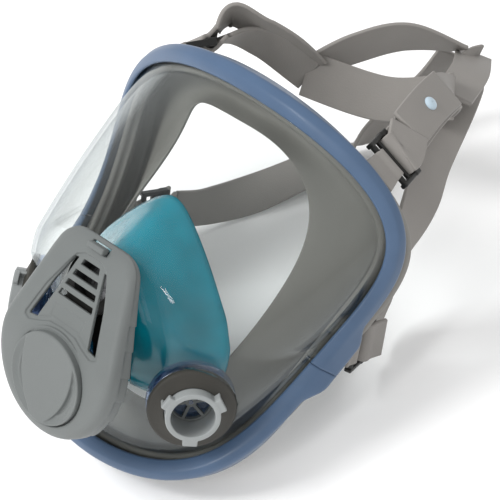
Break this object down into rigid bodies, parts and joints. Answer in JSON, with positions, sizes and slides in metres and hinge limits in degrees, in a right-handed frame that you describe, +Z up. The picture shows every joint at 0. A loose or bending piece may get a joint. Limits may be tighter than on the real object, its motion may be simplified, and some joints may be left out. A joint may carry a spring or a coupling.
{
  "type": "full face respirator",
  "caption": "Full face respirator: panoramic clear lens in a clamped frame, rubber face seal, inner nosecup, front exhalation cover, side bayonet inlets and a strap harness.",
  "frame": {"origin": "centre of the bounding box at table height, with the mask lying chin down on a table", "axes": "+X towards the wearer's left, +Y from the face towards the back of the harness, +Z up; the mask's own upright axis leans back 46 degrees about X"},
  "size_m": [0.2194, 0.3711, 0.1804],
  "materials": {
    "slate_plastic": "satin",
    "gray_plastic": "satin",
    "clear_lens": "polished",
    "seal_rubber": "matte",
    "harness_rubber": "matte",
    "gasket_rubber": "matte",
    "teal_silicone": "satin",
    "violet_clear": "gloss",
    "black_plastic": "satin",
    "blue_plastic": "gloss",
    "steel": "satin"
  },
  "bodies": {
    "facepiece": {"upper_clamp_ring": "slate_plastic", "lower_clamp_ring": "slate_plastic", "clamp_screws": "steel", "clamp_nuts": "steel", "lens": "clear_lens", "face_seal": "seal_rubber", "nosecup": "teal_silicone", "component_housing": "black_plastic", "exhalation_valve_seat": "gray_plastic", "speech_diaphragm": "steel", "diaphragm_ring": "black_plastic", "inlet_tube_left": "gray_plastic", "inlet_tube_right": "gray_plastic", "inlet_gasket_left": "gasket_rubber", "inlet_gasket_right": "gasket_rubber", "inlet_nut_left": "violet_clear", "inlet_nut_right": "violet_clear", "inhalation_seat_left": "gray_plastic", "inhalation_seat_right": "gray_plastic", "temple_tab_left": "harness_rubber", "temple_tab_right": "harness_rubber", "neck_tab_left": "harness_rubber", "neck_tab_right": "harness_rubber"},
    "cover": {"front_cover": "gray_plastic"},
    "latch": {"cover_latch": "gray_plastic"},
    "cap": {"round_cap": "gray_plastic", "cap_seal": "black_plastic"},
    "exhalation_flap": {"exhalation_valve_disc": "violet_clear"},
    "inhalation_flap_left": {"inhalation_valve_left": "violet_clear"},
    "inhalation_flap_right": {"inhalation_valve_right": "violet_clear"},
    "temple_buckle_left": {"temple_buckle_left": "black_plastic"},
    "neck_buckle_left": {"neck_buckle_left": "black_plastic"},
    "temple_buckle_right": {"temple_buckle_right": "black_plastic"},
    "neck_buckle_right": {"neck_buckle_right": "black_plastic"},
    "harness": {"harness": "harness_rubber", "strap_studs": "blue_plastic"}
  },
  "joints": [
    {"name": "cover_pull", "type": "slide", "parent": "facepiece", "child": "cover", "axis": [0, -0.6947, 0.7193], "range_m": [0, 0.03]},
    {"name": "latch_press", "type": "slide", "parent": "cover", "child": "latch", "axis": [0, 0.6947, -0.7193], "range_m": [0, 0.0015], "stiffness_N_per_m": 300},
    {"name": "cap_turn", "type": "hinge", "parent": "cover", "child": "cap", "pos_m": [0, -0.16995, 0.08914], "axis": [0, -0.8572, 0.515], "range_deg": [0, 60]},
    {"name": "exhale_open", "type": "slide", "parent": "facepiece", "child": "exhalation_flap", "axis": [0, -0.6947, 0.7193], "range_m": [0, 0.002], "stiffness_N_per_m": 20},
    {"name": "inhale_open_left", "type": "slide", "parent": "facepiece", "child": "inhalation_flap_left", "axis": [-0.7572, 0.5767, -0.3065], "range_m": [0, 0.0015], "stiffness_N_per_m": 20},
    {"name": "inhale_open_right", "type": "slide", "parent": "facepiece", "child": "inhalation_flap_right", "axis": [0.7572, 0.5767, -0.3065], "range_m": [0, 0.0015], "stiffness_N_per_m": 20},
    {"name": "temple_buckle_left_swing", "type": "hinge", "parent": "facepiece", "child": "temple_buckle_left", "pos_m": [0.081, 0.02706, 0.13648], "axis": [0.7586, 0.0269, -0.651], "range_deg": [-10, 15], "stiffness_Nm_per_rad": 0.03},
    {"name": "neck_buckle_left_swing", "type": "hinge", "parent": "facepiece", "child": "neck_buckle_left", "pos_m": [0.088, -0.02624, 0.03677], "axis": [0, -0.4317, -0.902], "range_deg": [-10, 15], "stiffness_Nm_per_rad": 0.03},
    {"name": "temple_buckle_right_swing", "type": "hinge", "parent": "facepiece", "child": "temple_buckle_right", "pos_m": [-0.081, 0.02706, 0.13648], "axis": [0.7586, -0.0269, 0.651], "range_deg": [-10, 15], "stiffness_Nm_per_rad": 0.03},
    {"name": "neck_buckle_right_swing", "type": "hinge", "parent": "facepiece", "child": "neck_buckle_right", "pos_m": [-0.088, -0.02624, 0.03677], "axis": [0, 0.4317, 0.902], "range_deg": [-10, 15], "stiffness_Nm_per_rad": 0.03},
    {"name": "harness_lift", "type": "hinge", "parent": "facepiece", "child": "harness", "pos_m": [0, 0.02706, 0.13648], "axis": [1, 0, 0], "range_deg": [0, 15]}
  ]
}
